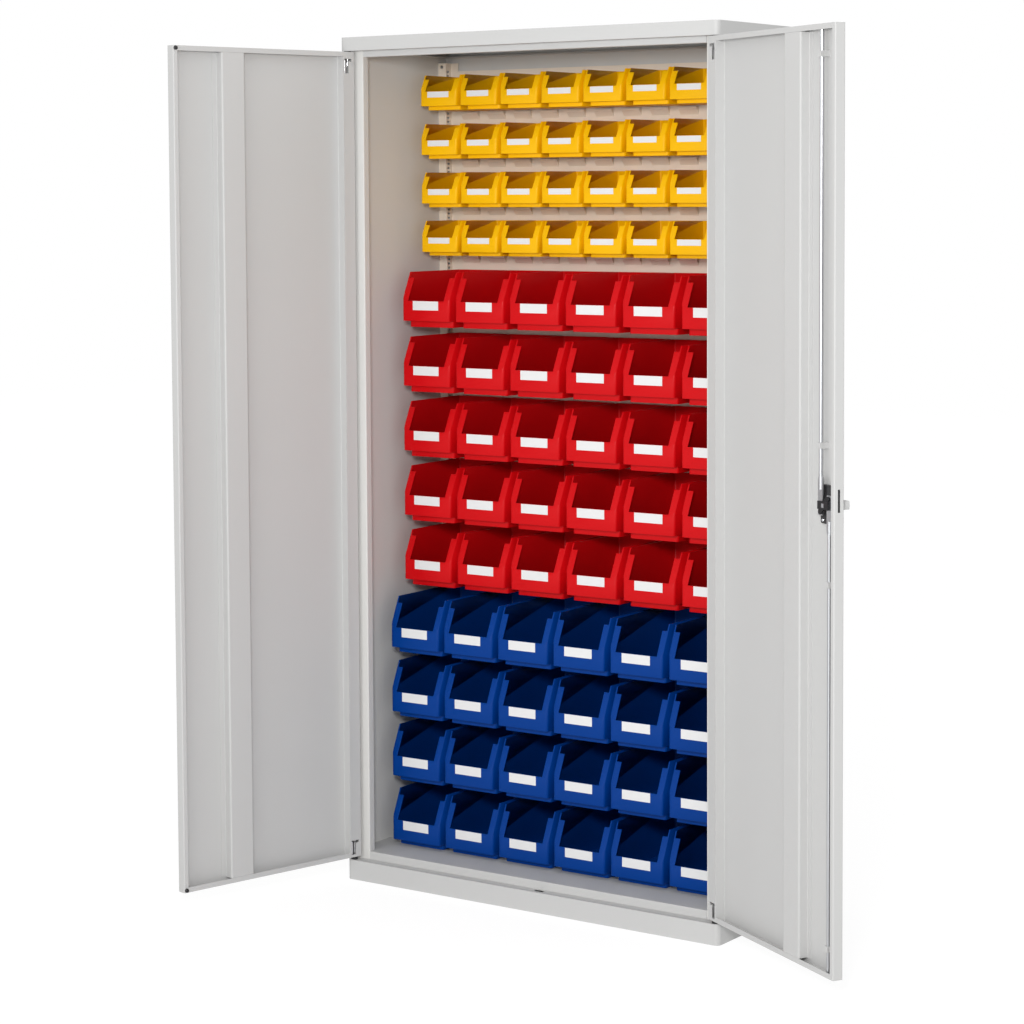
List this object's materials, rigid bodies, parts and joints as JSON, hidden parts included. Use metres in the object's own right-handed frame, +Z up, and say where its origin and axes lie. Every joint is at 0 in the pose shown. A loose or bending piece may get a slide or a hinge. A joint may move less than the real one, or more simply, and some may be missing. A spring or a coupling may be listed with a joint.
{
  "type": "parts bin cabinet",
  "caption": "Two-door steel cabinet with louvred back panels, carrying hook-on open-fronted plastic bins in coloured rows, with a turning lock and locking rods.",
  "frame": {"origin": "centre of the carcass footprint, on the floor", "axes": "+Z up, -Y towards the front, +X to the right seen from the front"},
  "size_m": [1.5235, 0.8718, 1.95],
  "materials": {
    "grey_paint": "light grey fine-textured powder coat",
    "panel_paint": "pale grey powder coat",
    "zinc": "zinc plated",
    "bright_metal": "bright plated",
    "dark_plastic": "moulded, matt",
    "dark_metal": "black passivated",
    "yellow_plastic": "moulded, satin gloss",
    "red_plastic": "moulded, satin gloss",
    "blue_plastic": "moulded, satin gloss",
    "label": "blank label card"
  },
  "bodies": {
    "cabinet": {"top_panel": "grey_paint", "left_side": "grey_paint", "right_side": "grey_paint", "back_panel": "grey_paint", "floor_panel": "grey_paint", "plinth": "grey_paint", "left_upright": "panel_paint", "right_upright": "panel_paint", "louvre_panel_top": "panel_paint", "louvre_panel_middle": "panel_paint", "louvre_panel_bottom": "panel_paint", "panel_screws": "zinc", "hinge_bushes": "dark_plastic", "yellow_row_1": "yellow_plastic", "yellow_row_2": "yellow_plastic", "yellow_row_3": "yellow_plastic", "yellow_row_4": "yellow_plastic", "red_row_1": "red_plastic", "red_row_2": "red_plastic", "red_row_3": "red_plastic", "red_row_4": "red_plastic", "red_row_5": "red_plastic", "blue_row_1": "blue_plastic", "blue_row_2": "blue_plastic", "blue_row_3": "blue_plastic", "blue_row_4": "blue_plastic", "yellow_labels": "label", "red_labels": "label", "blue_labels": "label"},
    "left_door": {"left_door": "grey_paint", "left_stiffener": "grey_paint", "left_hinge_pins": "bright_metal", "left_buffers": "dark_plastic"},
    "right_door": {"right_door": "grey_paint", "right_stiffener": "grey_paint", "right_hinge_pins": "bright_metal", "rod_guides": "grey_paint", "lock_case": "dark_plastic", "lock_screws": "zinc", "lock_rose": "grey_paint"},
    "handle": {"lock_knob": "grey_paint", "lock_spindle": "zinc", "lock_crank": "dark_metal"},
    "key": {"key_barrel": "bright_metal"},
    "upper_rod": {"upper_rod": "zinc"},
    "lower_rod": {"lower_rod": "zinc"},
    "yellow_bin": {"yellow_bin": "yellow_plastic", "yellow_bin_label": "label"},
    "red_bin": {"red_bin": "red_plastic", "red_bin_label": "label"},
    "blue_bin": {"blue_bin": "blue_plastic", "blue_bin_label": "label"}
  },
  "joints": [
    {"name": "left_door_hinge", "type": "hinge", "parent": "cabinet", "child": "left_door", "pos_m": [-0.4865, -0.1943, 0], "axis": [0, 0, -1], "range_deg": [-104, 76]},
    {"name": "right_door_hinge", "type": "hinge", "parent": "cabinet", "child": "right_door", "pos_m": [0.4865, -0.1943, 0], "axis": [0, 0, 1], "range_deg": [-150, 30]},
    {"name": "handle_turn", "type": "hinge", "parent": "right_door", "child": "handle", "pos_m": [0.8729, -0.40503, 0.984], "axis": [0.5, 0.866, 0], "range_deg": [0, 90]},
    {"name": "key_turn", "type": "hinge", "parent": "handle", "child": "key", "pos_m": [0.8729, -0.40503, 0.984], "axis": [0.5, 0.866, 0], "range_deg": [0, 90]},
    {"name": "upper_rod_slide", "type": "slide", "parent": "right_door", "child": "upper_rod", "axis": [0, 0, 1], "range_m": [0, 0.02545]},
    {"name": "lower_rod_slide", "type": "slide", "parent": "right_door", "child": "lower_rod", "axis": [0, 0, -1], "range_m": [0, 0.02545]},
    {"name": "yellow_bin_lift", "type": "slide", "parent": "cabinet", "child": "yellow_bin", "axis": [0, 0, 1], "range_m": [0, 0.012]},
    {"name": "red_bin_lift", "type": "slide", "parent": "cabinet", "child": "red_bin", "axis": [0, 0, 1], "range_m": [0, 0.012]},
    {"name": "blue_bin_lift", "type": "slide", "parent": "cabinet", "child": "blue_bin", "axis": [0, 0, 1], "range_m": [0, 0.012]}
  ],
  "couplings": [
    {"joint": "handle_turn", "follows": "upper_rod_slide", "rad_per_m": 61.707},
    {"joint": "lower_rod_slide", "follows": "upper_rod_slide", "ratio": 1}
  ]
}
